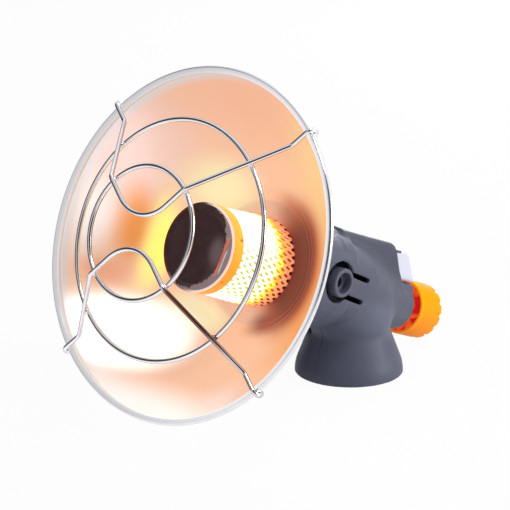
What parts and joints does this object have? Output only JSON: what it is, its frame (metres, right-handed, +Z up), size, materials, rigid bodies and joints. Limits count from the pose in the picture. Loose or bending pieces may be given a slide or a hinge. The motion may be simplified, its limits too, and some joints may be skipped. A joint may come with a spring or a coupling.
{
  "type": "portable propane heater",
  "caption": "Screw-on radiant gas heater head with a dished reflector, wire guard, glowing mesh burner, gas knob and push-button igniter.",
  "frame": {"origin": "middle of the mouth of the cartridge thread", "axes": "+Z up along the cartridge's axis, -Y the way the reflector faces, X = 0 the plane where the housing halves meet"},
  "size_m": [0.15, 0.1987, 0.1517],
  "materials": {
    "housing": "satin",
    "knob": "satin",
    "button": "satin",
    "reflector": "satin",
    "steel": "satin",
    "chrome_wire": "polished",
    "enamel": "gloss",
    "glowing_mesh": "hot",
    "glowing_band": "hot",
    "brass": "machined",
    "rubber": "matte",
    "igniter": "matte",
    "ceramic": "matte"
  },
  "bodies": {
    "heater": {"housing_right": "housing", "housing_left": "housing", "housing_screws": "steel", "reflector": "reflector", "mounting_collar": "steel", "reflector_nut": "steel", "burner_cup": "enamel", "burner_mesh": "glowing_mesh", "flame_diffuser": "glowing_band", "burner_band": "glowing_band", "burner_cap": "enamel", "mixing_tube": "steel", "gas_jet": "brass", "valve_body": "brass", "cartridge_seal": "rubber", "opening_pin": "brass", "gland_nut": "brass", "igniter_spring": "steel", "piezo_igniter": "igniter", "ignition_lead": "rubber", "electrode_insulator": "ceramic", "electrode": "steel", "guard_wire_upper": "chrome_wire", "guard_wire_lower": "chrome_wire", "guard_ring_outer": "chrome_wire", "guard_ring_inner": "chrome_wire"},
    "stem_seal": {"spindle_seal": "rubber"},
    "knob": {"knob": "knob", "spindle": "steel", "knob_screw": "steel"},
    "button": {"igniter_button": "button", "igniter_plunger": "igniter"}
  },
  "joints": [
    {"name": "stem_lift", "type": "slide", "parent": "heater", "child": "stem_seal", "axis": [0, 0.9304, -0.3665], "range_m": [0, 0.0012]},
    {"name": "knob_turn", "type": "hinge", "parent": "stem_seal", "child": "knob", "pos_m": [0, 0.04312, 0.0109], "axis": [0, 0.9304, -0.3665], "range_deg": [0, 540]},
    {"name": "button_press", "type": "slide", "parent": "heater", "child": "button", "axis": [0, -0.9304, 0.3665], "range_m": [0, 0.005], "stiffness_N_per_m": 400, "springref_m": -0.002, "deforming": ["igniter_spring"]}
  ],
  "couplings": [
    {"joint": "knob_turn", "follows": "stem_lift", "rad_per_m": 7854}
  ]
}
